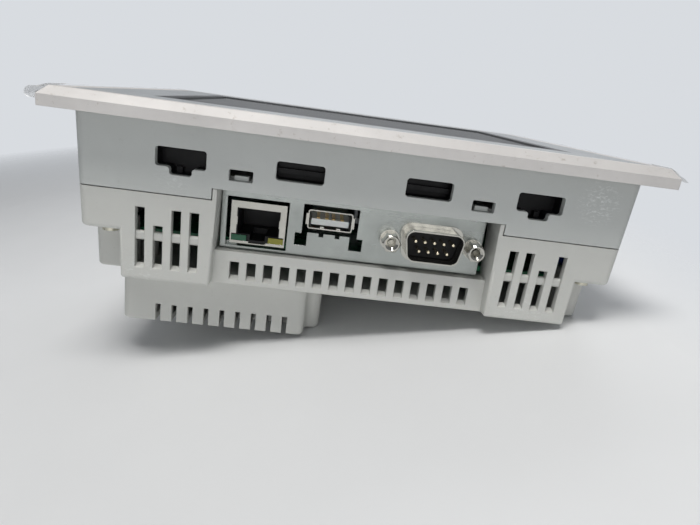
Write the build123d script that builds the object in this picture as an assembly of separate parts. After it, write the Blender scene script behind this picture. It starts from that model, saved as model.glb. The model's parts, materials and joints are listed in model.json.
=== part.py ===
from build123d import *
import os

os.makedirs("parts", exist_ok=True)

# ---------------------------------------------------------------- overall sizes
bezel_w = 167.5            # faceplate, along X
bezel_d = 135.0            # faceplate, along Y
bezel_t = 5.1
bezel_chamfer = 2.2
flange = 6.0               # faceplate overhang around the body
frame_h = 19.6             # faceplate to parting line
cover_h = 25.6             # parting line to the flat of the rear cover
bump_h = 17.5              # expansion cover below the rear cover
wall = 2.2
body_r = 2.4
side_draft = 0.034         # per mm of height, on the X sides
front_draft = 0.012        # per mm of height, on the Y sides
seam = 0.3                 # visible gap on the parting line

body_w = bezel_w - 2 * flange
body_d = bezel_d - 2 * flange
hw = body_w / 2
hd = body_d / 2

# ---------------------------------------------------------------- levels, bottom at z = 0
z_cover = bump_h
z_part = z_cover + cover_h
z_seat = z_part + frame_h
z_top = z_seat + bezel_t
z_ear = z_part - 11.6
z_bay = z_part + 3.2       # top of the connector bay

# ---------------------------------------------------------------- rear cover features
ear_w = 11.35
block_w = 26.5             # vent block width at the parting line
main_inset = 8.6           # main box wall behind the front face
main_trim = 1.5            # main box side wall inside the ears
main_shift = -0.9          # main box offset along X
strip_inset = 4.8
col_pitch = 4.91
col_w = 2.6
vent_pitch = 4.94
vent_w = 2.7
vent_count = 15
comb_pitch = 4.94
comb_w = 1.55
comb_h = 5.9
comb_count = 9
upstand = 1.2              # rib on each side of the bay, up to its top edge

# ---------------------------------------------------------------- windows in the front frame
t_x = 49.9
t_w = 13.5
t_h = 5.2
notch_w = 6.0
notch_h = 2.1
plain_x = 17.9
plain_w = 13.2
latch_x = 33.8
latch_w = 6.5
latch_h = 3.1
window_r = 0.8
z_win = z_seat - 0.344 * frame_h      # top edge of the clamp windows
z_latch = z_seat - 0.539 * frame_h    # top edge of the latch windows

# ---------------------------------------------------------------- connectors
plate_y = -hd + 7.3        # front of the connector plate
rj_x = -28.75
rj_w = 15.95
rj_h = 12.6
usb_x = -8.1
usb_w = 13.1
usb_h = 5.7
usb_slots = (-2.2, 2.6)    # notches under the USB socket, from its centre
z_conn = z_part - 0.5      # common top of the network and USB sockets
ds_x = 22.4
ds_z = z_part - 6.5
ds_w = 18.1                # D-sub shell, outside
ds_h = 9.4
ds_skin = 0.4
screw_pitch = 24.99
board_t = 1.6
z_board = z_conn - rj_h    # top of the main board
z_mb = z_board - board_t
z_disp_board = z_conn + 1.8
z_strip = z_mb - 0.7       # top of the slotted strip

# ---------------------------------------------------------------- display stack
view_w = bezel_w - 52.1
view_h = bezel_d - 48.2
glass_w = bezel_w - 49.5
glass_h = bezel_d - 45.8
glass_t = 2.2
lcd_w = body_w - 11.5
lcd_d = body_d - 18.2
lcd_t = 8.0
overlay_margin = 6.0
overlay_t = 0.4
film_t = 0.15
flap_out = 4.0             # how far a curled film corner passes the faceplate
flap_len = 10.0            # length of the curl along Y
flap_drop = 3.4

# ---------------------------------------------------------------- fastener radii
screw_r = 1.1
screw_head_r = 2.1
pilot_r = 1.25
clear_r = 1.5
boss_r = 2.8
jack_bore_r = 1.15
sink_r = 1.95


def block(x0, x1, y0, y1, z0, z1):
    centre = Pos((x0 + x1) / 2, (y0 + y1) / 2, (z0 + z1) / 2)
    return centre * Box(abs(x1 - x0), abs(y1 - y0), abs(z1 - z0))


def rod(x, y, z0, z1, r):
    return Pos(x, y, (z0 + z1) / 2) * Cylinder(r, abs(z1 - z0))


def rod_y(x, z, y0, y1, r):
    return Pos(x, (y0 + y1) / 2, z) * Rot(90, 0, 0) * Cylinder(r, abs(y1 - y0))


def front_plane(x, y, z):
    return Plane(origin=(x, y, z), x_dir=(1, 0, 0), z_dir=(0, -1, 0))


def rounded(w, d, z0, z1, r):
    return extrude(Pos(0, 0, z0) * RectangleRounded(w, d, r), amount=z1 - z0)


def tapered(x_half, y_half, z_hi, z_lo, r, inset=0.0):
    """Box that narrows downward by the two drafts, with rounded vertical edges."""
    sections = []
    for z in (z_hi, z_lo):
        drop = z_seat - z
        w = 2 * (x_half - inset - side_draft * drop)
        d = 2 * (y_half - inset - front_draft * drop)
        sections.append(Pos(0, 0, z) * RectangleRounded(w, d, r))
    return loft(sections, ruled=True)


def wedge(x_pairs, y_pairs, z_hi, z_lo):
    """Box whose top and bottom rectangles differ: (x0, x1) and (y0, y1) at each level."""
    sections = []
    for (x0, x1), (y0, y1), z in zip(x_pairs, y_pairs, (z_hi, z_lo)):
        centre = Pos((x0 + x1) / 2, (y0 + y1) / 2, z)
        sections.append(centre * Rectangle(abs(x1 - x0), abs(y1 - y0)))
    return loft(sections, ruled=True)


def group(solids):
    return Compound(children=list(solids))


def quad(shape):
    """The shape and its mirror images about both centre planes."""
    right = [shape, mirror(shape, Plane.YZ)]
    return right + [mirror(s, Plane.XZ) for s in right]


def save(name, shape):
    export_step(shape, f"parts/{name}.step")


def half_y(z, inset=0.0):
    return hd - inset - front_draft * (z_seat - z)


# ================================================================ front bezel
lower = block(-bezel_w / 2, bezel_w / 2, -bezel_d / 2, bezel_d / 2, z_seat, z_top - bezel_chamfer)
upper = extrude(
    Pos(0, 0, z_top - bezel_chamfer) * Rectangle(bezel_w, bezel_d),
    amount=bezel_chamfer,
    taper=45,
)
bezel = lower + upper
overlay_w = bezel_w - 2 * overlay_margin
overlay_d = bezel_d - 2 * overlay_margin
bezel -= block(-overlay_w / 2, overlay_w / 2, -overlay_d / 2, overlay_d / 2, z_top - overlay_t, z_top + 1)
open_w = glass_w + 0.4
open_h = glass_h + 0.4
bezel -= block(-open_w / 2, open_w / 2, -open_h / 2, open_h / 2, z_seat - 1, z_top)
gasket_in = 1.2
gasket_out = 4.4
groove = rounded(body_w + 2 * gasket_out, body_d + 2 * gasket_out, z_seat - 1, z_seat + 1.2, 4)
groove -= rounded(body_w + 2 * gasket_in, body_d + 2 * gasket_in, z_seat - 2, z_seat + 2, 3)
bezel -= groove
rim_t = 1.6                # floor of the front frame, under the screw heads
screw_x = hw - 14.7
screw_y = hd - 5.2
bezel_screw_at = [(x, s * screw_y) for x in (-screw_x, 0, screw_x) for s in (-1, 1)]
for x, y in bezel_screw_at:
    bezel -= rod(x, y, z_seat - 1, z_seat + 2.9, pilot_r)
save("front_bezel", bezel)

gasket = rounded(body_w + 2 * gasket_out - 0.3, body_d + 2 * gasket_out - 0.3, z_seat, z_seat + 1.2, 3.85)
gasket -= rounded(body_w + 2 * gasket_in + 0.3, body_d + 2 * gasket_in + 0.3, z_seat - 1, z_seat + 2, 3.15)
save("panel_gasket", gasket)

screws = []
for x, y in bezel_screw_at:
    head = rod(x, y, z_seat - rim_t - 1.7, z_seat - rim_t, screw_head_r)
    head -= rod(x, y, z_seat - 4, z_seat - rim_t - 0.8, 0.8)
    screws.append(head + rod(x, y, z_seat - rim_t, z_seat + 2.6, screw_r))
save("bezel_screws", group(screws))

# ================================================================ display stack
z_glass = z_top - overlay_t
overlay = block(
    -overlay_w / 2 + 0.1, overlay_w / 2 - 0.1, -overlay_d / 2 + 0.1, overlay_d / 2 - 0.1, z_glass, z_top
)
overlay -= block(-view_w / 2, view_w / 2, -view_h / 2, view_h / 2, z_glass - 1, z_top + 1)
save("front_overlay", overlay)

glass = block(-glass_w / 2, glass_w / 2, -glass_h / 2, glass_h / 2, z_glass - glass_t, z_glass)
save("touch_glass", glass)

z_lcd = z_glass - glass_t
lcd = block(-glass_w / 2, glass_w / 2, -glass_h / 2, glass_h / 2, z_seat, z_lcd)
save("lcd_glass", lcd)

chassis = block(-lcd_w / 2, lcd_w / 2, -lcd_d / 2, lcd_d / 2, z_seat - lcd_t, z_seat)
chassis -= block(-lcd_w / 2 + 1, lcd_w / 2 - 1, -lcd_d / 2 + 1, lcd_d / 2 - 1, z_seat - lcd_t - 1, z_seat - 6)
save("lcd_chassis", chassis)

top_half_w = bezel_w / 2 - bezel_chamfer
top_half_d = bezel_d / 2 - bezel_chamfer
film = block(-top_half_w, top_half_w, -top_half_d, top_half_d, z_top, z_top + film_t)
reach = bezel_w / 2 + flap_out - top_half_w
for side in (-1, 1):
    x0 = side * top_half_w
    x1 = side * (top_half_w + reach)
    face = make_face(
        Polyline(
            (x0, z_top),
            (x1, z_top - flap_drop),
            (x1, z_top - flap_drop + film_t * 1.2),
            (x0, z_top + film_t),
            close=True,
        )
    )
    film += extrude(front_plane(0, -top_half_d, 0) * face, amount=-flap_len)
save("protective_film", film)

# ================================================================ front frame
frame = tapered(hw, hd, z_seat, z_part + seam / 2, body_r)
frame -= tapered(hw, hd, z_seat - rim_t, z_part - 1, body_r - 1.2, wall)
lcd_gap_w = lcd_w + 2.4
lcd_gap_d = lcd_d + 2.2
frame -= block(-lcd_gap_w / 2, lcd_gap_w / 2, -lcd_gap_d / 2, lcd_gap_d / 2, z_seat - 3, z_seat + 1)
notch_half = hw - ear_w - block_w + upstand + seam
frame -= block(-notch_half, notch_half, -hd - 1, -hd + 8, z_part - 1, z_bay)
for x, y in bezel_screw_at:
    frame -= rod(x, y, z_seat - 3, z_seat + 1, 1.3)

post_x = hw - 7.7
post_y = hd - 5.4
boss = rod(post_x, post_y, z_part + seam / 2, z_seat - rim_t + 0.1, boss_r)
boss_hole = rod(post_x, post_y, z_part, z_seat - 5.5, 1.4)
for shape in quad(boss):
    frame += shape
for shape in quad(boss_hole):
    frame -= shape

cut_y = -hd - 2
cut_depth = 5.5
t_profile = [
    (t_x - t_w / 2, z_win),
    (t_x + t_w / 2, z_win),
    (t_x + t_w / 2, z_win - t_h),
    (t_x + notch_w / 2, z_win - t_h),
    (t_x + notch_w / 2, z_win - t_h - notch_h),
    (t_x - notch_w / 2, z_win - t_h - notch_h),
    (t_x - notch_w / 2, z_win - t_h),
    (t_x - t_w / 2, z_win - t_h),
]
t_face = make_face(Polyline(*t_profile, close=True))
t_face = fillet(t_face.vertices(), window_r)
plain_face = Pos(plain_x, z_win - t_h / 2) * RectangleRounded(plain_w, t_h, window_r + 0.1)
latch_face = Pos(latch_x, z_latch - latch_h / 2) * RectangleRounded(latch_w, latch_h, 0.4)
for face in (t_face, plain_face, latch_face):
    cut = extrude(front_plane(0, cut_y, 0) * face, amount=-cut_depth)
    for shape in quad(cut):
        frame -= shape
save("front_frame", frame)

# ================================================================ clamp cups
cup_y0 = -half_y(z_part, wall) + 0.02
cup_depth = 5.6
cup_side = 1.4             # cup wall beyond the window
t_half = t_w / 2 + cup_side
cup_y1 = cup_y0 + cup_depth
z_notch = z_win - t_h - notch_h
cup = block(t_x - t_half, t_x + t_half, cup_y0, cup_y1, z_notch - 1.0, z_win + cup_side)
hollow = extrude(front_plane(0, cup_y0 - 1, 0) * t_face, amount=-(cup_depth - 0.2))
cup -= hollow
cup += block(t_x + 0.6, t_x + 2.2, cup_y0 + 2.4, cup_y1 - 1, z_notch, z_win - t_h - 0.4)
save("clamp_cups_t", group(quad(cup)))

plain_half = plain_w / 2 + cup_side
cup = block(plain_x - plain_half, plain_x + plain_half, cup_y0, cup_y1, z_win - t_h - 1.2, z_win + cup_side)
hollow = extrude(front_plane(0, cup_y0 - 1, 0) * plain_face, amount=-(cup_depth - 0.2))
cup -= hollow
rail_z = z_win - 3.9
cup += block(plain_x - plain_w / 2, plain_x + plain_w / 2, cup_y0 + 2.6, cup_y0 + 4.6, rail_z, rail_z + 1.5)
save("clamp_cups_plain", group(quad(cup)))

# ================================================================ inner carrier
z_car = z_disp_board + board_t + 1.2
stand_x = hw - 15.75
stand_y = hd - 23.5
ribbon_half = 12.0
ribbon_y = hd - 21.5
car_half = hw - 7.75
car_t = 1.6
opening_pitch = car_half * 9 / 14
opening_half = car_half / 5
opening_y = hd - 31.5
carrier = block(-car_half, car_half, -hd + 9.5, hd - 9.5, z_car, z_car + car_t)
for x in (-opening_pitch, 0, opening_pitch):
    carrier -= block(x - opening_half, x + opening_half, -opening_y, opening_y, z_car - 1, z_car + 3)
arm_l = latch_x - 1.9
arm_r = latch_x + 1.9
arm_y = -hd + 2.8
z_tip = z_latch - 1.8      # top of the latch hook seen in its window
arm = block(arm_l, arm_r, arm_y, -hd + 9.6, z_car, z_car + car_t)
arm += block(arm_l, arm_r, arm_y, arm_y + 1.2, z_car, z_tip)
arm += block(arm_l, arm_r, arm_y - 0.9, arm_y + 0.2, z_latch - latch_h + 0.05, z_tip)
for shape in quad(arm):
    carrier += shape
pillar = rod(stand_x, hd - 17.5, z_car + car_t - 0.1, z_seat - lcd_t, 3.0)
for shape in quad(pillar):
    carrier += shape
carrier -= block(
    -ribbon_half - 1, ribbon_half + 1, ribbon_y - 0.6, ribbon_y + 1.0, z_car - 1, z_car + 3
)
save("inner_carrier", carrier)

# ================================================================ rear cover
z_lid = z_part - seam / 2
main_x = hw - main_trim
main_y = hd - main_inset
block_in = hw - ear_w - block_w
block_out = hw - ear_w
strip_y = hd - strip_inset
block_lean = 1.0
board_y0 = -main_y + wall + 0.6

skirt = tapered(hw, hd, z_lid, z_ear, body_r)
skirt = fillet(skirt.faces().sort_by(Axis.Z)[0].edges(), 1.2)
main = Pos(main_shift, 0, 0) * tapered(main_x, main_y, z_ear + 4, z_cover, body_r)
main = fillet(main.faces().sort_by(Axis.Z)[0].edges(), 0.8)
cover = skirt + main

side_block = wedge(
    [(block_in, block_out), (block_in + block_lean, block_out - 0.7)],
    [(-half_y(z_lid), -main_y + 3), (-half_y(z_cover), -main_y + 3)],
    z_lid,
    z_cover,
)
lower_edges = side_block.faces().sort_by(Axis.Z)[0].edges().sort_by(Axis.Y)[:1]
side_block = fillet(lower_edges, 1.0)
outer_edges = side_block.edges().filter_by(lambda e: e.length > 20 and e.center().Y < -hd + 4)
side_block = fillet(outer_edges, 0.8)
for shape in quad(side_block):
    cover += shape
strip = block(-block_in - 2, block_in + 2, -strip_y, -main_y + 3, z_cover, z_strip)
cover += strip
cover += block(-block_in - 2, block_in + 2, main_y - 3, strip_y, z_cover, z_lid)

# hollow
z_floor = z_cover + wall
cover -= tapered(hw, hd, z_lid + 1, z_ear + wall, body_r - 1.2, wall)
cover -= Pos(main_shift, 0, 0) * tapered(main_x, main_y, z_lid + 1, z_floor, body_r - 1.2, wall)
room = wedge(
    [(block_in + wall, block_out - wall), (block_in + wall + block_lean, block_out - wall - 0.7)],
    [(-half_y(z_lid, wall), -main_y + 4), (-half_y(z_floor, wall), -main_y + 4)],
    z_lid + 1,
    z_floor,
)
for shape in quad(room):
    cover -= shape
cover -= block(-block_in + wall, block_in - wall, -strip_y + 2.1, -main_y + 4, z_floor, z_strip - 2.0)
cover -= block(-block_in, block_in, main_y - 4, strip_y - 2.1, z_floor, z_lid + 1)

# connector bay and the ribs beside it
rib = block(block_in, block_in + upstand, -half_y(z_part), -main_y + 3, z_lid - 1, z_bay - seam / 2)
lean_rate = block_lean / (z_lid - z_cover)
web_lean = lean_rate * (z_lid - z_strip)
web = wedge(
    [(block_in, block_in + upstand), (block_in + web_lean, block_in + web_lean + upstand)],
    [(-half_y(z_lid) + 0.5, board_y0 - 0.2), (-half_y(z_strip) + 0.5, board_y0 - 0.2)],
    z_lid,
    z_strip - 0.5,
)
for shape in (rib, web):
    cover += shape
    cover += mirror(shape, Plane.YZ)
bay_hi = block_in - 5 * lean_rate
bay_lo = block_in + web_lean
bay_y = (-hd - 2, -main_y + 3.2)
cover -= wedge([(-bay_hi, bay_hi), (-bay_lo, bay_lo)], [bay_y, bay_y], z_lid + 5, z_strip)

# vent columns: three long and one short, mirrored left and right, front and back
col_x = (block_in + block_out) / 2 - 0.1
z_col = z_part - 4.3
bar_hi = z_part - 11.3
bar_lo = z_part - 13.95
z_sill = z_cover + 5.1
bars = []
for i in range(4):
    x = col_x + (i - 1.5) * col_pitch
    top = z_col - (4.9 if i == 2 else 0)
    cut = block(x - col_w / 2, x + col_w / 2, -hd - 1, -hd + 4.2, z_sill, top)
    profile = make_face(
        Polyline((-hd - 1, z_sill - 1.9), (-hd + 4.2, z_sill + 0.1), (-hd - 1, z_sill + 0.1), close=True)
    )
    side = Plane(origin=(x - col_w / 2, 0, 0), x_dir=(0, 1, 0), z_dir=(1, 0, 0))
    cut += extrude(side * profile, amount=col_w)
    for shape in quad(cut):
        cover -= shape
    bar = block(x - col_w / 2 - 0.3, x + col_w / 2 + 0.3, -hd + 1.2, -hd + 2.75, bar_lo, bar_hi)
    bar = fillet(bar.edges().filter_by(Axis.X), 0.7)
    bars.extend(quad(bar))
for bar in bars:
    cover += bar

# strip vents with a sloping sill
z_vent = z_strip - 3.1
for i in range(vent_count):
    x = (i - (vent_count - 1) / 2) * vent_pitch
    cover -= block(x - vent_w / 2, x + vent_w / 2, -strip_y - 1, -strip_y + 2.6, z_cover + 2.6, z_vent)
    profile = make_face(
        Polyline(
            (-strip_y - 1, z_cover + 1.0),
            (-strip_y + 2.6, z_cover + 2.7),
            (-strip_y - 1, z_cover + 2.7),
            close=True,
        )
    )
    side = Plane(origin=(x - vent_w / 2, 0, 0), x_dir=(0, 1, 0), z_dir=(1, 0, 0))
    cover -= extrude(side * profile, amount=vent_w)

# screw posts under the ears
post = rod(post_x, post_y, z_ear + wall - 0.5, z_lid, boss_r)
post_hole = rod(post_x, post_y, z_ear - 1, z_lid + 1, clear_r)
for shape in quad(post):
    cover += shape
for shape in quad(post_hole):
    cover -= shape

# ---------------------------------------------------------------- expansion cover on the flat
exp_x0 = -hw + 8.85
exp_x1 = -12.25
exp_x2 = -7.4
exp_y0 = -hd + 11.3
exp_y1 = hd - 31.5
step_y = exp_y0 + 7.0
ex_wall = 2.0
z_exp_board = 9.0
exp_posts = [
    (exp_x0 + 6, exp_y0 + 6.5),
    (exp_x1 - 1.5, exp_y0 + 13),
    (exp_x0 + 6, exp_y1 - 6),
    (exp_x1 - 1.5, exp_y1 - 6),
]
for x, y in exp_posts:
    cover += rod(x, y, z_floor - 0.5, z_floor + 4.5, 2.6)
    cover -= rod(x, y, z_cover - 1, z_floor + 5, pilot_r)
link_x = (exp_x0 + exp_x1) / 2
link_half = 15.0
cover -= block(link_x - link_half - 1.5, link_x + link_half + 1.5, -4, 4, z_cover - 1, z_floor + 1)
pw_x = 34.0
pw_y = 10.0
pw_half_x = 8.2
pw_half_y = 5.0
pw_gap_x = pw_half_x + 0.6
pw_gap_y = pw_half_y + 0.6
cover -= block(pw_x - pw_gap_x, pw_x + pw_gap_x, pw_y - pw_gap_y, pw_y + pw_gap_y, z_cover - 1, z_floor + 1)
save("rear_cover", cover)

screw = rod(post_x, post_y, z_ear - 1.4, z_ear, 2.3)
screw -= block(post_x - 1.5, post_x + 1.5, post_y - 0.25, post_y + 0.25, z_ear - 2, z_ear - 0.7)
screw -= block(post_x - 0.25, post_x + 0.25, post_y - 1.5, post_y + 1.5, z_ear - 2, z_ear - 0.7)
screw += rod(post_x, post_y, z_ear, z_seat - 6.5, pilot_r)
save("cover_screws", group(quad(screw)))

bump = block(exp_x0, exp_x1, exp_y0, exp_y1, 0, z_cover)
bump += block(exp_x1 - 4, exp_x2, step_y, exp_y1, 0, z_cover)
bump = fillet(bump.edges().filter_by(Axis.Z), 2.4)
inner = block(exp_x0 + ex_wall, exp_x1 - ex_wall, exp_y0 + ex_wall, exp_y1 - ex_wall, ex_wall, z_cover + 1)
inner += block(exp_x1 - 6, exp_x2 - ex_wall, step_y + ex_wall, exp_y1 - ex_wall, ex_wall, z_cover + 1)
bump = fillet(bump.faces().sort_by(Axis.Z)[0].edges(), 0.8)
bump -= inner
comb_x = exp_x0 + 30.6
for i in range(comb_count):
    x = comb_x + (i - (comb_count - 1) / 2) * comb_pitch
    bump -= block(x - comb_w / 2, x + comb_w / 2, exp_y0 - 1, exp_y0 + 9, -1, comb_h)
for x, y in exp_posts:
    bump += rod(x, y, 1, z_cover, 3.2)
    bump -= rod(x, y, -1, 2.4, 2.6)
    bump -= rod(x, y, -1, z_cover + 1, 1.45)
pegs = [(x, y) for x in (exp_x0 + 14, exp_x1 - 12) for y in (exp_y0 + 29, exp_y1 - 14)]
for x, y in pegs:
    bump += rod(x, y, 1, z_exp_board, 2.0)
save("expansion_cover", bump)

screws = []
for x, y in exp_posts:
    head = rod(x, y, 0.9, 2.4, 2.3)
    head -= block(x - 1.4, x + 1.4, y - 0.25, y + 0.25, 0, 1.6)
    head -= block(x - 0.25, x + 0.25, y - 1.4, y + 1.4, 0, 1.6)
    screws.append(head + rod(x, y, 2.4, z_floor + 3.5, screw_r))
save("expansion_screws", group(screws))

exp_board = block(
    exp_x0 + 9.5, exp_x1 - 7.5, exp_y0 + 21, exp_y1 - 6, z_exp_board, z_exp_board + board_t
)
save("expansion_board", exp_board)
link = block(link_x - link_half, link_x + link_half, -2.6, 2.6, z_exp_board + board_t, z_mb)
save("expansion_link", link)

# ================================================================ connector plate
plate_x1 = block_in - 1.8
plate_gap = 0.5            # dark line between the plate and the strip
plate = block(-block_in + 0.3, plate_x1, plate_y, plate_y + 1.0, z_strip + plate_gap, z_bay + 0.6)
for x in (-block_in + 3, plate_x1 - 3):
    plate += block(x - 2, x + 2, plate_y + 0.9, plate_y + 2.2, z_strip, z_strip + 2.0)
plate += block(-block_in + 0.3, plate_x1, plate_y, plate_y + 4.4, z_bay - 0.4, z_bay + 0.6)
plate -= block(rj_x - 9.3, rj_x + 8.5, plate_y - 1, plate_y + 2, z_board - 1.1, z_conn + 0.9)
plate -= block(usb_x - 8.0, usb_x + 8.4, plate_y - 1, plate_y + 2, z_conn - 7.7, z_conn + 1.2)
plate -= block(usb_x - 9.9, usb_x + 10.2, plate_y - 1, plate_y + 2, z_conn - 11.3, z_conn - 7.6)
tab = block(usb_x - 6.3, usb_x + 6.3, plate_y, plate_y + 1.0, z_conn - 11.4, z_conn - 7.2)
for x in usb_slots:
    tab -= block(usb_x + x - 0.7, usb_x + x + 0.7, plate_y - 1, plate_y + 2, z_conn - 8.2, z_conn - 7)
plate += tab


def d_shape(w, h, r):
    """D outline, wide side up, sides sloping ten degrees."""
    low = w / 2 - h * 0.176
    corners = [(-w / 2, h / 2), (w / 2, h / 2), (low, -h / 2), (-low, -h / 2)]
    face = make_face(Polyline(*corners, close=True))
    return fillet(face.vertices(), r)


def d_prism(w, h, r, y0, y1):
    return extrude(front_plane(ds_x, y0, ds_z) * d_shape(w, h, r), amount=-(y1 - y0))


jack_at = [ds_x - screw_pitch / 2, ds_x + screw_pitch / 2]
plate -= d_prism(ds_w + 0.6, ds_h + 0.6, 2.8, plate_y - 1, plate_y + 2)
for x in jack_at:
    plate -= rod_y(x, ds_z, plate_y - 1, plate_y + 2, 1.7)
save("connector_plate", plate)

# ================================================================ network socket
rj_y0 = plate_y - 1.0
rj_y1 = rj_y0 + 16.0
rj_l = rj_x - rj_w / 2
rj_r = rj_x + rj_w / 2
skin = 0.4
led_h = 2.1
shelf_t = 0.35
led_w = 4.4
shield = block(rj_l, rj_r, rj_y0, rj_y1, z_board, z_conn)
shield -= block(rj_l + skin, rj_r - skin, rj_y0 + skin, rj_y1 - skin, z_board + skin, z_conn - skin)
z_led = z_board + 0.8
open_lo = z_led + led_h
shield -= block(rj_x - 6.2, rj_x + 6.2, rj_y0 - 1, rj_y0 + 1, open_lo - 0.1, z_conn - 2.0)
shield -= block(rj_l + skin, rj_r - skin, rj_y0 - 1, rj_y0 + 1, z_led, open_lo)
shield -= block(rj_x - 2.5, rj_x + 2.5, rj_y0 - 1, rj_y0 + 1, z_board + 0.3, open_lo)
for side in (-1, 1):
    x = rj_x + side * 6.35
    shield += block(x - 0.35, x + 0.35, rj_y0, rj_y0 + skin, z_conn - 7.0, z_conn - 4.6)
save("rj45_shield", shield)

insert = block(rj_l + skin, rj_r - skin, rj_y0 + skin, rj_y1 - skin, z_board + skin, z_conn - skin)
insert -= block(rj_x - 5.9, rj_x + 5.9, rj_y0 - 1, rj_y0 + 12.5, open_lo, z_conn - 2.3)
insert -= block(rj_x - 2.2, rj_x + 2.2, rj_y0 - 1, rj_y0 + 9, z_board + 1.2, open_lo + 0.1)
for side in (-1, 1):
    x_out = rj_x + side * (rj_w / 2 - skin)
    x_in = x_out - side * (led_w + 0.1)
    insert -= block(x_out, x_in, rj_y0 - 1, rj_y0 + 10.1, z_led - 0.5, open_lo - shelf_t)
save("rj45_insert", insert)

for side, name in ((-1, "rj45_led_green"), (1, "rj45_led_amber")):
    x_out = rj_x + side * (rj_w / 2 - skin)
    led = block(x_out, x_out - side * led_w, rj_y0 + 0.1, rj_y0 + 10, z_led, open_lo - shelf_t - 0.05)
    save(name, led)

contacts = []
rj_pitch = 1.02
for i in range(8):
    x = rj_x + (i - 3.5) * rj_pitch
    strip_c = block(x - 0.22, x + 0.22, rj_y0 + 3.0, rj_y0 + 12.5, z_conn - 2.75, z_conn - 2.4)
    contacts.append(strip_c)
save("rj45_contacts", group(contacts))

# ================================================================ USB socket
usb_y0 = plate_y - 1.0
usb_y1 = usb_y0 + 14.0
usb_l = usb_x - usb_w / 2
usb_r = usb_x + usb_w / 2
z_usb = z_conn - usb_h
tube = Pos(usb_x, (z_usb + z_conn) / 2) * RectangleRounded(usb_w, usb_h, 0.7)
bore = Pos(usb_x, (z_usb + z_conn) / 2) * RectangleRounded(usb_w - 0.7, usb_h - 0.7, 0.4)
shell = extrude(front_plane(0, usb_y0, 0) * (tube - bore), amount=-(usb_y1 - usb_y0))
for side in (-1, 1):
    x = usb_x + side * (usb_w / 2)
    shell += block(x - side * 0.3, x + side * 0.55, usb_y0, usb_y0 + 0.5, z_usb + 1.2, z_conn - 1.2)
for x in usb_slots:
    shell += block(usb_x + x - 0.6, usb_x + x + 0.6, usb_y0 + 0.4, usb_y0 + 3.5, z_usb + 0.2, z_usb + 0.8)
save("usb_shell", shell)

tongue = block(usb_l + 0.6, usb_r - 0.6, usb_y1 - 3.0, usb_y1 - 0.2, z_usb + 0.5, z_conn - 0.5)
tongue += block(usb_x - 5.5, usb_x + 5.5, usb_y0 + 0.8, usb_y1 - 2.5, z_usb + 1.2, z_usb + 3.0)
tongue += block(usb_x - 5.5, usb_x + 5.5, usb_y1, usb_y1 + 1.8, z_usb + 0.4, z_disp_board)
tongue += block(usb_x - 5.5, usb_x + 5.5, usb_y1 - 0.5, usb_y1 + 0.5, z_usb + 0.4, z_conn - 0.4)
save("usb_tongue", tongue)

contacts = []
for offset in (-3.5, -1.0, 1.0, 3.5):
    x = usb_x + offset
    contacts.append(block(x - 0.5, x + 0.5, usb_y0 + 1.6, usb_y1 - 3.0, z_usb + 3.0, z_usb + 3.2))
save("usb_contacts", group(contacts))

# ================================================================ D-sub plug
ds_y0 = plate_y - 6.4
shell = d_prism(ds_w, ds_h, 2.6, ds_y0, plate_y + 1.0)
ds_in_w = ds_w - 2 * ds_skin
ds_in_h = ds_h - 2 * ds_skin
shell -= d_prism(ds_in_w, ds_in_h, 2.2, ds_y0 - 1, plate_y + 3)
skirt_d = d_prism(ds_w + 2.2, ds_h + 2.2, 3.4, plate_y - 0.9, plate_y)
skirt_d -= d_prism(ds_w - 0.2, ds_h - 0.2, 2.5, plate_y - 2, plate_y + 1)
shell += skirt_d
flange_d = block(ds_x - 15.4, ds_x + 15.4, plate_y + 1.0, plate_y + 1.8, ds_z - 6.2, ds_z + 6.2)
flange_d -= d_prism(ds_in_w, ds_in_h, 2.2, plate_y - 1, plate_y + 3)
for x in jack_at:
    flange_d -= rod_y(x, ds_z, plate_y, plate_y + 3, 1.7)
shell += flange_d
save("dsub_shell", shell)

insulator = d_prism(ds_in_w - 0.2, ds_in_h - 0.2, 2.1, ds_y0 + 5.0, plate_y + 1.8)
insulator += block(ds_x - 9.6, ds_x + 9.6, plate_y + 1.8, plate_y + 13, z_board, ds_z + 5.2)
pin_pitch = 2.77
row_z = 1.42
pin_at = [(ds_x + (i - 2) * pin_pitch, ds_z + row_z) for i in range(5)]
pin_at += [(ds_x + (i - 1.5) * pin_pitch, ds_z - row_z) for i in range(4)]
for x, z in pin_at:
    insulator -= rod_y(x, z, ds_y0, plate_y + 10, 0.55)
save("dsub_insulator", insulator)

pins = []
for x, z in pin_at:
    pin = rod_y(x, z, ds_y0 + 0.5, plate_y + 9.5, 0.5)
    pin = fillet(pin.edges().sort_by(Axis.Y)[:1], 0.35)
    pins.append(pin)
save("dsub_pins", group(pins))

jacks = []
jack_y0 = plate_y - 6.9
jack_flat = 2.4
for x in jack_at:
    outline = front_plane(x, jack_y0, ds_z) * RegularPolygon(jack_flat, 6, major_radius=False)
    crown = rod_y(x, ds_z, jack_y0, plate_y - 1.6, jack_flat * 1.12)
    crown = chamfer(crown.edges().sort_by(Axis.Y)[:1], 0.45)
    jack = extrude(outline, amount=-5.3) & crown
    jack += rod_y(x, ds_z, plate_y - 1.7, plate_y, 3.0)
    jack += rod_y(x, ds_z, plate_y - 0.5, plate_y + 6.0, 1.45)
    jack -= rod_y(x, ds_z, plate_y - 8, plate_y - 1.0, jack_bore_r)
    mouth = Plane(origin=(x, jack_y0, ds_z), x_dir=(1, 0, 0), z_dir=(0, 1, 0))
    jack -= mouth * Pos(0, 0, 0.3) * Cone(sink_r, jack_bore_r, 0.7)
    jacks.append(jack)
save("jackscrews", group(jacks))

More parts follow.
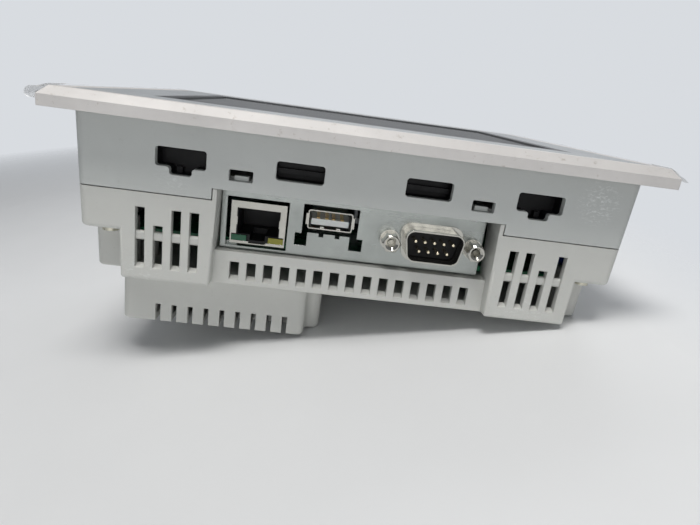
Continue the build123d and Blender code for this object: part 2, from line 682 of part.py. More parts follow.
# ================================================================ boards
board = block(-car_half, car_half, board_y0, hd - 16, z_mb, z_board)
stand_at = [(sx * stand_x, sy * stand_y) for sx in (1, -1) for sy in (1, -1)]
for x, y in stand_at:
    board -= rod(x, y, z_mb - 1, z_board + 1, 1.6)
save("main_board", board)

disp = block(2 - car_half, car_half - 2, -hd + 12, hd - 14, z_disp_board, z_disp_board + board_t)
for x, y in stand_at:
    disp -= rod(x, y, z_disp_board - 1, z_disp_board + 3, 1.6)
save("display_board", disp)

posts = []
spacers = []
screws = []
for x, y in stand_at:
    hexagon = Pos(x, y, z_board) * RegularPolygon(2.5, 6, major_radius=False)
    outer = extrude(hexagon, amount=z_disp_board - z_board)
    outer -= rod(x, y, z_board - 1, z_disp_board + 1, 1.3)
    posts.append(outer)
    ring = rod(x, y, z_disp_board + board_t, z_car, 2.6)
    ring -= rod(x, y, z_disp_board, z_car + 1, 1.5)
    spacers.append(ring)
    head = rod(x, y, z_mb - 1.7, z_mb, 2.6)
    head -= rod(x, y, z_mb - 3, z_mb - 0.9, 1.0)
    screws.append(head + rod(x, y, z_mb, z_board + 7, 1.2))
save("board_standoffs", group(posts))
save("board_spacers", group(spacers))
save("board_screws", group(screws))

chip_half = 9.0
chip_y = -7.0
sink_half = 14.0
fin_count = 8
fin_t = 1.1
z_sink = z_board + 2.2
chip = block(-chip_half, chip_half, chip_y - chip_half, chip_y + chip_half, z_board, z_sink)
save("processor", chip)
sink = block(-sink_half, sink_half, chip_y - sink_half, chip_y + sink_half, z_sink, z_sink + 2.0)
fin_pitch = (2 * sink_half - 2) / (fin_count - 1)
for i in range(fin_count):
    x = (i - (fin_count - 1) / 2) * fin_pitch
    sink += block(
        x - fin_t / 2, x + fin_t / 2, chip_y - sink_half, chip_y + sink_half, z_sink + 1.9, z_sink + 8.3
    )
save("heat_sink", sink)

small_t = 1.6
small_chips = [
    (24, 38, -20, -8),
    (24, 35, 8, 19),
    (-38, -24, 8, 22),
    (-52, -42, -14, -6),
]
chips = [block(x0, x1, y0, y1, z_board, z_board + small_t) for x0, x1, y0, y1 in small_chips]
save("board_chips", group(chips))

caps = []
can_sizes = [
    (hw - 12.0, board_y0 + 3.9, 3.6, 8.0),
    (hw - 27.0, hd - 27.0, 4.0, 10.5),
    (hw - 37.0, hd - 27.0, 3.2, 8.5),
    (-hw + 28.0, hd - 28.0, 3.6, 9.0),
]
for x, y, r, h in can_sizes:
    can = rod(x, y, z_board, z_board + h, r)
    caps.append(fillet(can.edges().sort_by(Axis.Z)[-1:], 0.5))
save("board_capacitors", group(caps))

cell_x = -30.0
cell_y = -hd + 37.5
cell_r = 10.0
cell_t = 3.2
z_cell = z_board + 1.2
holder = rod(cell_x, cell_y, z_board, z_board + 5.0, cell_r + 1.6)
holder -= rod(cell_x, cell_y, z_cell, z_board + 6, cell_r + 0.3)
save("cell_holder", holder)
cell = rod(cell_x, cell_y, z_cell, z_cell + cell_t, cell_r)
save("coin_cell", cell)

ribbon = block(
    -ribbon_half, ribbon_half, ribbon_y, ribbon_y + 0.3, z_disp_board + board_t, z_seat - 6.0
)
save("display_ribbon", ribbon)

# ================================================================ power header on the flat
pw_skin = 1.0
pw_pitch = 5.0
z_socket = z_mb - 2.5      # floor of the power socket
in_x = pw_half_x - pw_skin
in_y = pw_half_y - pw_skin
header = block(pw_x - pw_half_x, pw_x + pw_half_x, pw_y - pw_half_y, pw_y + pw_half_y, z_cover + 0.3, z_mb)
header -= block(pw_x - in_x, pw_x + in_x, pw_y - in_y, pw_y + in_y, z_cover - 1, z_socket)
save("power_header", header)
pins = []
for i in range(3):
    x = pw_x + (i - 1) * pw_pitch
    pins.append(block(x - 0.5, x + 0.5, pw_y - 0.5, pw_y + 0.5, z_cover + 5.0, z_socket))
save("power_pins", group(pins))
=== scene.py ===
import json
import math
import bpy
from mathutils import Matrix, Vector, noise


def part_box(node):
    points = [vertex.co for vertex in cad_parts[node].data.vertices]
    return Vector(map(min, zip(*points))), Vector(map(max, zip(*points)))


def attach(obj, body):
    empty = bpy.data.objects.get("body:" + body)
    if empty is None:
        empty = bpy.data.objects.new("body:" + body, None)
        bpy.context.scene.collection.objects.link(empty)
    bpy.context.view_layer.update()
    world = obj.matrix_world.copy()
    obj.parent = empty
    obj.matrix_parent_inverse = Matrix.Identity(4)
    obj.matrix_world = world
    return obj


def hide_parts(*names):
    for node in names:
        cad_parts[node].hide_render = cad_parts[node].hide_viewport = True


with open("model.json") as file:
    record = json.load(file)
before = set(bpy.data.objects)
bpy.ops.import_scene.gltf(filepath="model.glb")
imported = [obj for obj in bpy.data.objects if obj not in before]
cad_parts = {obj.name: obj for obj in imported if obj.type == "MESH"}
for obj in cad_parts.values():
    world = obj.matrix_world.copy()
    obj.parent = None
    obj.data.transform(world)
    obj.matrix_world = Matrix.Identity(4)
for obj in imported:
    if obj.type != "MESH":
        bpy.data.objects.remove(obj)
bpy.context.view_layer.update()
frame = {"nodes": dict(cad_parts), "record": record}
MM = 0.001

# ---------------------------------------------------------------- camera
CAMERA_AT = Vector((-13.17, -205.4, 74.45)) * MM
FOCAL_LENGTH = 27.12               # mm, on a 36 mm wide sensor
SENSOR_WIDTH = 36.0
CLIP_NEAR = 0.01
CLIP_FAR = 20.0
CAMERA_PITCH = math.radians(-17.14)
CAMERA_YAW = math.radians(-4.73)
CAMERA_ROLL = math.radians(-7.96)

# ---------------------------------------------------------------- floor
# The object leans on the lower edge of the expansion cover and on the rear cover's far edge.
REST_LOW = Vector((-8.0, 0.0, 0.0)) * MM
REST_HIGH = Vector((73.2, 0.0, 17.5)) * MM
FLOOR_REACH = 1.6
FLOOR_SIDE_FADE = (0.100, 0.165)   # across, from solid to clear
FLOOR_FAR_FADE = (0.45, 1.40)      # outwards, from solid to clear
FLOOR_COLOUR = (0.80, 0.81, 0.82, 1.0)

# ---------------------------------------------------------------- world and lights
WORLD_COLOUR = (0.80, 0.83, 0.87, 1.0)
WORLD_STRENGTH = 0.25              # light that reaches the object
BACKDROP_STRENGTH = 0.86           # what the camera sees past the floor
LIGHT_AIM = Vector((0.0, 0.0, 0.03))
LIGHTS = (                         # name, place, size, power, colour
    ("key", (-0.14, -0.27, 0.74), (0.30, 0.22), 4.1, (1.0, 0.985, 0.96)),
    ("front_fill", (0.02, -0.80, 0.10), (0.5, 0.3), 0.85, (1.0, 1.0, 1.0)),
    ("back_soft", (0.15, 0.65, 0.55), (0.7, 0.5), 2.0, (0.95, 0.97, 1.0)),
)

# ---------------------------------------------------------------- film over the faceplate
OVERLAY_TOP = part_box("front_overlay")[1][2]
FILM_HALF_W = 81.5 * MM
FILM_HALF_D = 65.25 * MM
FILM_LIFT = 0.15 * MM
FLAP_LENGTH = 10.0 * MM            # along the front corner
FLAP_CUT = 7.0 * MM                # right flap, from the faceplate's top edge to its end
FLAP_SLOPE = math.radians(29)
CURL_RUN = 4.8 * MM                # left flap, straight part before the curl
CURL_RADIUS = 1.35 * MM
CURL_SLOPE = 0.22
CURL_TURN = math.radians(285)
CURL_CUT = CURL_RUN + CURL_RADIUS * CURL_TURN
WAVE_HEIGHT = 0.05 * MM            # slow waves over the whole sheet
RIM_BAND = 4.0 * MM                # strip along the edges that stands off the faceplate
RIM_HEIGHT = 0.28 * MM
FOLD_START = 3.0 * MM              # past the edge, where the folds are at full depth
FOLD_HEIGHT = 0.35 * MM
FOLD_PULL = 0.25 * MM              # how far a fold draws the end in
FOLD_SHIFT = 0.6 * MM
FOLD_WAVE = 2.3                    # radians for each millimetre along the end
FINE_STEP = 0.5 * MM               # spacing of the sheet's points
COARSE_STEP = 3.0 * MM
CURL_STEP = 0.3 * MM
FLAP_STEP = 0.4 * MM
FINE_BAND = 6.0 * MM
HAIR = 0.01 * MM                   # tolerance on the flaps' outline

# ---------------------------------------------------------------- overlay print
WINDOW_HALF_W = 61.6 * MM
WINDOW_HALF_D = 47.3 * MM
PRINT_EDGE = 0.15 * MM


def build_camera():
    data = bpy.data.cameras.new("camera")
    data.lens = FOCAL_LENGTH
    data.sensor_width = SENSOR_WIDTH
    data.clip_start = CLIP_NEAR
    data.clip_end = CLIP_FAR
    camera = bpy.data.objects.new("camera", data)
    bpy.context.scene.collection.objects.link(camera)
    turn = Matrix.Rotation(CAMERA_YAW, 4, "Z") @ Matrix.Rotation(CAMERA_PITCH, 4, "X")
    turn = turn @ Matrix.Rotation(CAMERA_ROLL, 4, "Y") @ Matrix.Rotation(math.radians(90), 4, "X")
    camera.matrix_world = Matrix.Translation(CAMERA_AT) @ turn
    bpy.context.scene.camera = camera


# ================================================================ node graphs
EVEN = (1, 1, 1)
NOISE_SPAN = (0.3, 0.7)            # where most of a noise's values lie
BEVEL_SAMPLES = 6
EDGE_SPAN = (0.88, 0.985)          # rounded against flat normal, from edge to flat
NEAR_CORE = 0.3                    # share of the radius that is fully covered


class Graph:
    """A material's node tree, with short calls for the nodes used here."""

    def __init__(self, name):
        self.mat = bpy.data.materials.new(name)
        self.mat.use_nodes = True
        self.tree = self.mat.node_tree
        self.tree.nodes.clear()
        self.out = self.add("ShaderNodeOutputMaterial")
        self.coords = self.add("ShaderNodeTexCoord").outputs["Object"]

    def add(self, kind, **inputs):
        """A node with its inputs fed; an underscore in an input's name stands for a space."""
        node = self.tree.nodes.new(kind)
        for key, value in inputs.items():
            self.feed(node.inputs[key.replace("_", " ")], value)
        return node

    def feed(self, socket, value):
        if isinstance(value, bpy.types.NodeSocket):
            self.tree.links.new(value, socket)
        else:
            socket.default_value = value

    def stretched(self, stretch):
        if stretch == EVEN:
            return self.coords
        return self.add("ShaderNodeMapping", Vector=self.coords, Scale=stretch).outputs[0]

    def noise(self, scale, detail, roughness=0.5, stretch=EVEN, distortion=0.0):
        node = self.add(
            "ShaderNodeTexNoise",
            Vector=self.stretched(stretch),
            Scale=scale,
            Detail=detail,
            Roughness=roughness,
            Distortion=distortion,
        )
        return node.outputs["Fac"]

    def remap(self, value, low, high, to_low=0.0, to_high=1.0):
        node = self.add(
            "ShaderNodeMapRange",
            Value=value,
            From_Min=low,
            From_Max=high,
            To_Min=to_low,
            To_Max=to_high,
        )
        node.clamp = True
        return node.outputs[0]

    def cloud(self, scale, detail, low=0.0, high=1.0, roughness=0.5, stretch=EVEN):
        """Noise spread from low to high."""
        return self.remap(self.noise(scale, detail, roughness, stretch), *NOISE_SPAN, low, high)

    def math(self, operation, a, b=0.0):
        node = self.tree.nodes.new("ShaderNodeMath")
        node.operation = operation
        self.feed(node.inputs[0], a)
        self.feed(node.inputs[1], b)
        return node.outputs[0]

    def compare(self, operation, a, b):
        """One number from two vectors."""
        node = self.tree.nodes.new("ShaderNodeVectorMath")
        node.operation = operation
        self.feed(node.inputs[0], a)
        self.feed(node.inputs[1], b)
        return node.outputs["Value"]

    def mix(self, factor, a, b):
        node = self.tree.nodes.new("ShaderNodeMix")
        node.data_type = "RGBA"
        self.feed(node.inputs["Factor"], factor)
        self.feed(node.inputs[6], a)
        self.feed(node.inputs[7], b)
        return node.outputs[2]

    def axes(self):
        return self.add("ShaderNodeSeparateXYZ", Vector=self.coords).outputs

    def rounded_normal(self, radius):
        node = self.add("ShaderNodeBevel", Radius=radius)
        node.samples = BEVEL_SAMPLES
        return node.outputs[0]

    def edge_mask(self, normal):
        """1 on the rounded edges, 0 on the flats."""
        flat = self.add("ShaderNodeNewGeometry").outputs["Normal"]
        return self.remap(self.compare("DOT_PRODUCT", normal, flat), *EDGE_SPAN, 1.0, 0.0)

    def bump(self, height, distance, strength, normal=None):
        node = self.add("ShaderNodeBump", Height=height, Distance=distance, Strength=strength)
        if normal is not None:
            self.feed(node.inputs["Normal"], normal)
        return node.outputs[0]

    def near(self, centre, radius):
        """1 at a place on the object, falling to 0 at the radius."""
        distance = self.compare("DISTANCE", self.coords, centre)
        return self.remap(distance, radius * NEAR_CORE, radius, 1.0, 0.0)

    def finish(self, colour, **inputs):
        """The material, with a Principled shader of these inputs as its surface."""
        shader = self.add("ShaderNodeBsdfPrincipled", Base_Color=colour, **inputs)
        self.feed(self.out.inputs["Surface"], shader.outputs[0])
        return self.mat


def scaled(colour, k):
    return tuple(min(1.0, c * k) for c in colour) + (1.0,)


# What a finish has unless its own row says otherwise. Lengths are in millimetres.
PLAIN_LOOK = {
    "tint": 0.05,                  # how far the colour varies
    "patch": 45.0,                 # noise scale of that
    "edge": 0.25,                  # radius of the rounded edges
    "wear": 0.25,                  # how far the edges are rubbed
    "dirt": 0.0,                   # how dark the dirt spots are
    "dirt_scale": 420.0,
    "dirt_colour": (0.20, 0.15, 0.10, 1.0),
    "scuffs": (),                  # place, radius, amount and colour of each
    "spread": 0.07,                # how far the roughness varies
    "gloss_scale": 160.0,
    "stretch": EVEN,               # of the gloss and the grain
    "grain": 4200.0,               # noise scale of the grain
    "depth": 0.012,                # height of the grain
    "relief": 0.5,                 # strength of the grain
    "sockets": {},                 # more of the shader's inputs
}
WEAR_SCALE = 320.0
WEAR_SPAN = (0.35, 0.65)
WEAR_BRIGHTER = 1.25
DIRT_SPAN = (0.60, 0.74)
SCUFF_SCALE = 750.0
SCUFF_STRETCH = (1.0, 1.0, 2.4)
SCUFF_SPAN = (0.52, 0.64)
SLOW_SCALE = 90.0                  # slow unevenness under every finish
SLOW_DEPTH = 0.04 * MM
SLOW_STRENGTH = 0.35


def surface(name, colour, rough, metallic=0.0, **own):
    """A finish with colour variation, uneven gloss, grain, rounded edges, wear and dirt."""
    look = {"wear_colour": scaled(colour, WEAR_BRIGHTER), **PLAIN_LOOK, **own}
    g = Graph(name)
    tint = look["tint"]
    patch = g.cloud(look["patch"], 4.0, roughness=0.6)
    body = g.mix(patch, scaled(colour, 1 - tint), scaled(colour, 1 + tint))

    normal = g.rounded_normal(look["edge"] * MM)
    if look["wear"]:
        uneven = g.remap(g.noise(WEAR_SCALE, 4.0), *WEAR_SPAN, 0.0, look["wear"])
        rubbed = g.math("MULTIPLY", g.edge_mask(normal), uneven)
        body = g.mix(rubbed, body, look["wear_colour"])

    if look["dirt"]:
        specks = g.noise(look["dirt_scale"], 5.0, 0.7)
        spots = g.remap(specks, *DIRT_SPAN, 0.0, look["dirt"])
        body = g.mix(spots, body, look["dirt_colour"])

    for centre, radius, amount, scuff_colour in look["scuffs"]:
        lines = g.noise(SCUFF_SCALE, 5.0, 0.65, SCUFF_STRETCH, 0.8)
        lines = g.remap(lines, *SCUFF_SPAN, 0.0, amount)
        body = g.mix(g.math("MULTIPLY", lines, g.near(centre, radius * MM)), body, scuff_colour)

    low = max(0.02, rough - look["spread"])
    high = min(1.0, rough + look["spread"])
    gloss = g.cloud(look["gloss_scale"], 4.0, low, high, 0.6, look["stretch"])

    grain = g.noise(look["grain"], 2.0, 0.5, look["stretch"])
    normal = g.bump(grain, look["depth"] * MM, look["relief"], normal)
    normal = g.bump(g.noise(SLOW_SCALE, 2.0), SLOW_DEPTH, SLOW_STRENGTH, normal)
    return g.finish(body, Metallic=metallic, Roughness=gloss, Normal=normal, **look["sockets"])


# ================================================================ special finishes
FILM_WHITE = (0.95, 0.965, 0.98, 1.0)
FILM_EDGE_FADE = 1.0 * MM
FILM_HAZE = (0.06, 0.11)
CREASE_BASE = 0.62                 # how white the crumpled corners are at least
CREASE_STREAKS = 0.35              # what the streaks add
PRINT_GREY = ((0.36, 0.38, 0.40, 1.0), (0.40, 0.42, 0.44, 1.0))
PRINT_BORDER = (0.035, 0.037, 0.042, 1.0)
MASK_GREEN = (0.010, 0.115, 0.050, 1.0)
RUN_GREEN = (0.025, 0.210, 0.095, 1.0)
TIN = (0.62, 0.62, 0.58, 1.0)
RUN_GRIDS = ((190.0, 0.5), (95.0, 0.37))   # scale and offset of each
RUN_WIDTH = 0.045
SLEEVE_BLUE = ((0.020, 0.075, 0.38, 1.0), (0.030, 0.110, 0.50, 1.0))
CAN_TOP = (0.70, 0.71, 0.72, 1.0)


def clear_film():
    """Thin clear film: glossy, slightly hazy, and white where it is crumpled."""
    g = Graph("film_clear")
    across = g.math("ABSOLUTE", g.axes()[0])
    past_edge = g.remap(across, FILM_HALF_W - FILM_EDGE_FADE, FILM_HALF_W + FILM_EDGE_FADE)
    haze = g.remap(g.noise(55.0, 5.0, 0.6), 0.35, 0.75, *FILM_HAZE)
    streaks = g.remap(g.noise(420.0, 5.0, 0.7, (1.0, 0.35, 1.0), 1.2), 0.50, 0.64)
    white = g.math("ADD", g.math("MULTIPLY", streaks, CREASE_STREAKS), CREASE_BASE)
    alpha = g.math("ADD", haze, g.math("MULTIPLY", past_edge, white))
    relief = g.math("MULTIPLY", g.noise(380.0, 6.0, 0.7, EVEN, 1.0), past_edge)
    normal = g.bump(relief, 0.5 * MM, 0.8)
    normal = g.bump(g.noise(70.0, 3.0), 0.08 * MM, 0.4, normal)
    return g.finish(
        FILM_WHITE,
        Roughness=g.cloud(240.0, 4.0, 0.06, 0.16),
        Alpha=alpha,
        Normal=normal,
        Specular_IOR_Level=0.75,
    )


def printed_overlay():
    """Printed polyester: grey field with a dark border round the window."""
    g = Graph("overlay_print")
    x, y = g.axes()[0:2]
    border_x = g.remap(g.math("ABSOLUTE", x), WINDOW_HALF_W, WINDOW_HALF_W + PRINT_EDGE)
    border_y = g.remap(g.math("ABSOLUTE", y), WINDOW_HALF_D, WINDOW_HALF_D + PRINT_EDGE)
    outside = g.math("MAXIMUM", border_x, border_y)
    field = g.mix(g.cloud(60.0, 4.0), *PRINT_GREY)
    return g.finish(
        g.mix(outside, PRINT_BORDER, field),
        Roughness=g.cloud(180.0, 4.0, 0.34, 0.46),
        Normal=g.bump(g.noise(5200.0, 2.0), 0.008 * MM, 0.5, g.rounded_normal(0.1 * MM)),
    )


def circuit_board():
    """Green solder mask with copper runs under it and tinned pads."""
    g = Graph("board_green")
    runs = []
    for scale, offset in RUN_GRIDS:
        brick = g.add(
            "ShaderNodeTexBrick",
            Vector=g.coords,
            Scale=scale,
            Mortar_Size=RUN_WIDTH,
            Mortar_Smooth=0.1,
        )
        brick.offset = offset
        runs.append(brick.outputs["Fac"])
    copper = g.math("MAXIMUM", *runs)
    pads = g.add("ShaderNodeTexVoronoi", Vector=g.coords, Scale=420.0, Randomness=0.35)
    pad_mask = g.remap(pads.outputs["Distance"], 0.20, 0.24, 1.0, 0.0)
    some = g.remap(g.noise(130.0, 1.0), 0.56, 0.58)
    pad_mask = g.math("MULTIPLY", pad_mask, some)
    mask = g.mix(copper, MASK_GREEN, RUN_GREEN)
    height = g.math("ADD", g.math("MULTIPLY", copper, 0.5), pad_mask)
    return g.finish(
        g.mix(pad_mask, mask, TIN),
        Metallic=g.math("MULTIPLY", pad_mask, 0.9),
        Roughness=g.cloud(260.0, 4.0, 0.25, 0.42),
        Normal=g.bump(height, 0.05 * MM, 0.6, g.rounded_normal(0.1 * MM)),
    )


def capacitor_can():
    """Printed sleeve round the can, bare aluminium on its top."""
    g = Graph("cap_blue")
    facing = g.add("ShaderNodeNewGeometry").outputs["Normal"]
    up = g.add("ShaderNodeSeparateXYZ", Vector=facing).outputs[2]
    top = g.remap(up, 0.90, 0.93)
    sleeve = g.mix(g.cloud(90.0, 3.0), *SLEEVE_BLUE)
    return g.finish(
        g.mix(top, sleeve, CAN_TOP),
        Metallic=top,
        Roughness=g.cloud(300.0, 3.0, 0.24, 0.38),
        Normal=g.bump(g.noise(1500.0, 2.0), 0.01 * MM, 0.4, g.rounded_normal(0.15 * MM)),
    )


# ================================================================ finishes by slot
HOUSING = (0.555, 0.575, 0.56)
COVER = (0.60, 0.605, 0.575)
ZINC = (0.36, 0.38, 0.365)
NICKEL = (0.50, 0.49, 0.45)
SCUFF_WHITE = (0.86, 0.88, 0.87, 1.0)
FINE_GRAIN = {"grain": 3600.0, "depth": 0.02, "relief": 0.6}
SMALL_METAL = {"edge": 0.09, "wear": 0.0, "spread": 0.08, "gloss_scale": 420.0, "depth": 0.004}
BRUSHED_X = {"stretch": (0.04, 1.0, 1.0), "grain": 2600.0, "depth": 0.012, "relief": 0.6}
LIGHT_PIPE = {
    "edge": 0.15,
    "wear": 0.0,
    "grain": 900.0,
    "sockets": {"Transmission Weight": 0.35, "IOR": 1.5},
}
FRAME_SCUFFS = (
    (Vector((66.5, -61.0, 55.5)) * MM, 7.5, 0.85, SCUFF_WHITE),
    (Vector((-52.0, -61.0, 47.0)) * MM, 6.0, 0.25, SCUFF_WHITE),
)
COVER_SCUFFS = (
    (Vector((52.0, -61.0, 21.0)) * MM, 11.0, 0.30, SCUFF_WHITE),
    (Vector((-60.0, -61.0, 20.0)) * MM, 9.0, 0.30, SCUFF_WHITE),
)


def build_finishes():
    return {
        "bezel_aluminium": surface(
            "bezel_aluminium", (0.66, 0.64, 0.625), 0.50, 0.10, tint=0.06, patch=70.0, edge=0.18,
            wear=0.5, wear_colour=(0.93, 0.93, 0.95, 1.0),
            dirt=0.55, dirt_scale=520.0, dirt_colour=(0.30, 0.25, 0.19, 1.0),
            sockets={"Specular IOR Level": 0.3}, **BRUSHED_X,
        ),
        "film_clear": clear_film(),
        "overlay_print": printed_overlay(),
        "touch_glass": surface(
            "touch_glass", (0.012, 0.013, 0.016), 0.05,
            edge=0.1, wear=0.0, spread=0.02, depth=0.002,
            sockets={"Specular IOR Level": 0.5, "Coat Weight": 0.6, "Coat Roughness": 0.03},
        ),
        "lcd_dark": surface("lcd_dark", (0.015, 0.016, 0.02), 0.18, wear=0.0, spread=0.05),
        "sheet_steel": surface(
            "sheet_steel", ZINC, 0.24, 1.0, tint=0.10, patch=120.0, edge=0.12, wear=0.0,
            spread=0.09, stretch=(0.10, 1.0, 1.0), grain=1800.0, depth=0.006,
        ),
        "frame_grey": surface(
            "frame_grey", HOUSING, 0.50, tint=0.025, edge=0.35, wear=0.30,
            dirt=0.10, dirt_scale=900.0, scuffs=FRAME_SCUFFS, **FINE_GRAIN,
        ),
        "cover_grey": surface(
            "cover_grey", COVER, 0.50, tint=0.03, edge=0.35, wear=0.35,
            dirt=0.12, dirt_scale=800.0, scuffs=COVER_SCUFFS, **FINE_GRAIN,
        ),
        "carrier_grey": surface(
            "carrier_grey", (0.60, 0.62, 0.60), 0.48, tint=0.03, edge=0.2, **FINE_GRAIN,
        ),
        "black_plastic": surface(
            "black_plastic", (0.008, 0.008, 0.009), 0.42, edge=0.12, wear=0.12,
            sockets={"Specular IOR Level": 0.22}, **FINE_GRAIN,
        ),
        "white_plastic": surface(
            "white_plastic", (0.80, 0.82, 0.80), 0.30, edge=0.12, wear=0.0,
            grain=2500.0, depth=0.006,
            sockets={"Subsurface Weight": 0.08, "Subsurface Scale": 0.001},
        ),
        "nickel": surface("nickel", NICKEL, 0.15, 1.0, tint=0.08, patch=240.0, **SMALL_METAL),
        "contact_gold": surface(
            "contact_gold", (0.86, 0.62, 0.27), 0.20, 1.0, tint=0.06, **SMALL_METAL,
        ),
        "pin_metal": surface("pin_metal", (0.90, 0.82, 0.62), 0.20, 1.0, tint=0.06, **SMALL_METAL),
        "led_green": surface("led_green", (0.015, 0.16, 0.075), 0.22, **LIGHT_PIPE),
        "led_amber": surface("led_amber", (0.42, 0.40, 0.035), 0.22, **LIGHT_PIPE),
        "rubber_black": surface(
            "rubber_black", (0.02, 0.02, 0.02), 0.75, edge=0.2, wear=0.2, depth=0.03,
        ),
        "board_green": circuit_board(),
        "chip_black": surface(
            "chip_black", (0.022, 0.022, 0.024), 0.45, edge=0.12, wear=0.1, grain=5200.0,
        ),
        "cap_blue": capacitor_can(),
        "screw_steel": surface(
            "screw_steel", (0.62, 0.60, 0.50), 0.30, 1.0, tint=0.10, **SMALL_METAL,
        ),
        "sink_aluminium": surface(
            "sink_aluminium", (0.70, 0.71, 0.73), 0.36, 1.0, edge=0.1, wear=0.0, **BRUSHED_X,
        ),
        "header_green": surface(
            "header_green", (0.03, 0.22, 0.085), 0.42, edge=0.15, wear=0.15, **FINE_GRAIN,
        ),
        "ribbon_white": surface("ribbon_white", (0.78, 0.78, 0.76), 0.35, edge=0.05, wear=0.0),
    }


def dress_nodes(finishes):
    for row in frame["record"]["subparts"]:
        node = frame["nodes"][row["node"]]
        for slot in node.material_slots:
            slot.material = finishes[row["material_slot"]]


# ================================================================ film piece
def steps(start, stop, pitch):
    """Even steps from start, without the stop itself."""
    count = max(1, round(abs(stop - start) / pitch))
    return [start + (stop - start) * i / count for i in range(count)]


def ripple(x, y, scale, seed):
    return noise.noise(Vector((x * scale, y * scale, seed)))


def flap_point(side, cut):
    """Out and down for a distance past the faceplate's top edge: curled left, slanted right."""
    if side > 0:
        return cut * math.cos(FLAP_SLOPE), -cut * math.sin(FLAP_SLOPE)
    if cut < CURL_RUN:
        return cut, -CURL_SLOPE * cut
    turn = (cut - CURL_RUN) / CURL_RADIUS
    out = CURL_RUN + CURL_RADIUS * math.sin(turn)
    return out, -CURL_SLOPE * CURL_RUN - CURL_RADIUS * (1.0 - math.cos(turn))


def film_point(x, y):
    """The film's place for a point of the flat sheet; past the ends it is crumpled."""
    cut = abs(x) - FILM_HALF_W
    rim = max(0.0, 1.0 - (FILM_HALF_D - abs(y)) / RIM_BAND) + max(0.0, 1.0 + cut / RIM_BAND)
    low = OVERLAY_TOP + FILM_LIFT + WAVE_HEIGHT * ripple(x, y, 40.0, 2.0)
    low += min(1.0, rim) * RIM_HEIGHT * (0.5 + ripple(x, y, 130.0, 5.0))
    if cut <= 0.0:
        return Vector((x, y, low))
    side = 1.0 if x > 0 else -1.0
    out, down = flap_point(side, cut)
    loose = min(1.0, cut / FOLD_START)
    fold = math.sin(y / MM * FOLD_WAVE + side) * 0.35 + ripple(x, y, 420.0, 9.0)
    shift = FOLD_SHIFT * loose * ripple(x, y, 300.0, 14.0)
    reach = FILM_HALF_W + out - FOLD_PULL * loose * abs(fold)
    return Vector((side * reach, y + shift, low + down + FOLD_HEIGHT * loose * fold))


def build_film(material):
    xs = steps(-FILM_HALF_W - CURL_CUT, -FILM_HALF_W, CURL_STEP)
    xs += steps(-FILM_HALF_W, -FILM_HALF_W + FINE_BAND, FINE_STEP)
    xs += steps(-FILM_HALF_W + FINE_BAND, FILM_HALF_W - FINE_BAND, COARSE_STEP)
    xs += steps(FILM_HALF_W - FINE_BAND, FILM_HALF_W, FINE_STEP)
    xs += steps(FILM_HALF_W, FILM_HALF_W + FLAP_CUT, FLAP_STEP) + [FILM_HALF_W + FLAP_CUT]
    ys = steps(-FILM_HALF_D, -FILM_HALF_D + FLAP_LENGTH, FINE_STEP)
    ys += steps(-FILM_HALF_D + FLAP_LENGTH, FILM_HALF_D - FINE_BAND, COARSE_STEP)
    ys += steps(FILM_HALF_D - FINE_BAND, FILM_HALF_D, FINE_STEP * 2) + [FILM_HALF_D]
    flap_y = -FILM_HALF_D + FLAP_LENGTH + HAIR
    edge_x = FILM_HALF_W + HAIR
    index = {}
    points = []
    for i, x in enumerate(xs):
        for j, y in enumerate(ys):
            if abs(x) <= edge_x or y <= flap_y:
                index[i, j] = len(points)
                points.append(film_point(x, y))
    faces = []
    for i in range(len(xs) - 1):
        for j in range(len(ys) - 1):
            corners = [(i, j), (i + 1, j), (i + 1, j + 1), (i, j + 1)]
            if all(c in index for c in corners):
                faces.append([index[c] for c in corners])
    mesh = bpy.data.meshes.new("protective_film_sheet")
    mesh.from_pydata(points, [], faces)
    mesh.validate()
    mesh.shade_smooth()
    mesh.materials.append(material)
    film = bpy.data.objects.new("protective_film_sheet", mesh)
    bpy.context.scene.collection.objects.link(film)
    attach(film, "root")
    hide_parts("protective_film")


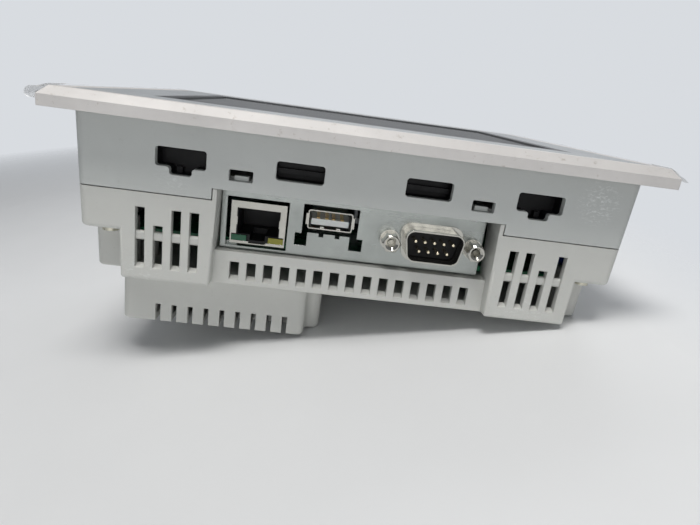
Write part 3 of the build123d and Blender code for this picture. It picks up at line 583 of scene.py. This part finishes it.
# ================================================================ floor, world and lights
def floor_material():
    """Pale laminate that fades out far away and just past the object's raised side."""
    g = Graph("floor_pale")
    x, y = g.axes()[0:2]
    side = g.remap(x, *FLOOR_SIDE_FADE, 1.0, 0.0)
    radius = g.math("SQRT", g.math("ADD", g.math("MULTIPLY", x, x), g.math("MULTIPLY", y, y)))
    far = g.remap(radius, *FLOOR_FAR_FADE, 1.0, 0.0)
    mottled = g.mix(g.noise(35.0, 5.0, 0.6), scaled(FLOOR_COLOUR[:3], 0.975), FLOOR_COLOUR)
    return g.finish(
        mottled,
        Roughness=g.cloud(60.0, 3.0, 0.52, 0.62),
        Normal=g.bump(g.noise(900.0, 3.0), 0.03 * MM, 0.4),
        Alpha=g.math("MULTIPLY", side, far),
    )


def build_floor():
    slope = math.atan2(REST_HIGH.z - REST_LOW.z, REST_HIGH.x - REST_LOW.x)
    corners = [(-1, -1), (1, -1), (1, 1), (-1, 1)]
    points = [Vector((sx * FLOOR_REACH, sy * FLOOR_REACH, 0.0)) for sx, sy in corners]
    mesh = bpy.data.meshes.new("floor")
    mesh.from_pydata(points, [], [[0, 1, 2, 3]])
    mesh.materials.append(floor_material())
    floor = bpy.data.objects.new("floor", mesh)
    bpy.context.scene.collection.objects.link(floor)
    floor.matrix_world = Matrix.Translation(REST_LOW) @ Matrix.Rotation(-slope, 4, "Y")


def area_light(name, at, size, power, colour):
    data = bpy.data.lights.new(name, "AREA")
    data.shape = "RECTANGLE"
    data.size, data.size_y = size
    data.energy = power
    data.color = colour
    light = bpy.data.objects.new(name, data)
    bpy.context.scene.collection.objects.link(light)
    light.location = at
    aim = LIGHT_AIM - Vector(at)
    light.rotation_euler = aim.to_track_quat("-Z", "Y").to_euler()


def build_light():
    world = bpy.data.worlds.new("studio")
    world.use_nodes = True
    nodes = world.node_tree.nodes
    background = nodes["Background"]
    background.inputs["Color"].default_value = WORLD_COLOUR
    seen = nodes.new("ShaderNodeLightPath").outputs["Is Camera Ray"]
    strength = nodes.new("ShaderNodeMapRange")
    strength.inputs["To Min"].default_value = WORLD_STRENGTH
    strength.inputs["To Max"].default_value = BACKDROP_STRENGTH
    world.node_tree.links.new(seen, strength.inputs["Value"])
    world.node_tree.links.new(strength.outputs[0], background.inputs["Strength"])
    bpy.context.scene.world = world
    for row in LIGHTS:
        area_light(*row)


# ================================================================ build
bpy.context.scene.view_settings.view_transform = "Standard"
build_camera()
finishes = build_finishes()
dress_nodes(finishes)
build_film(finishes["film_clear"])
build_floor()
build_light()
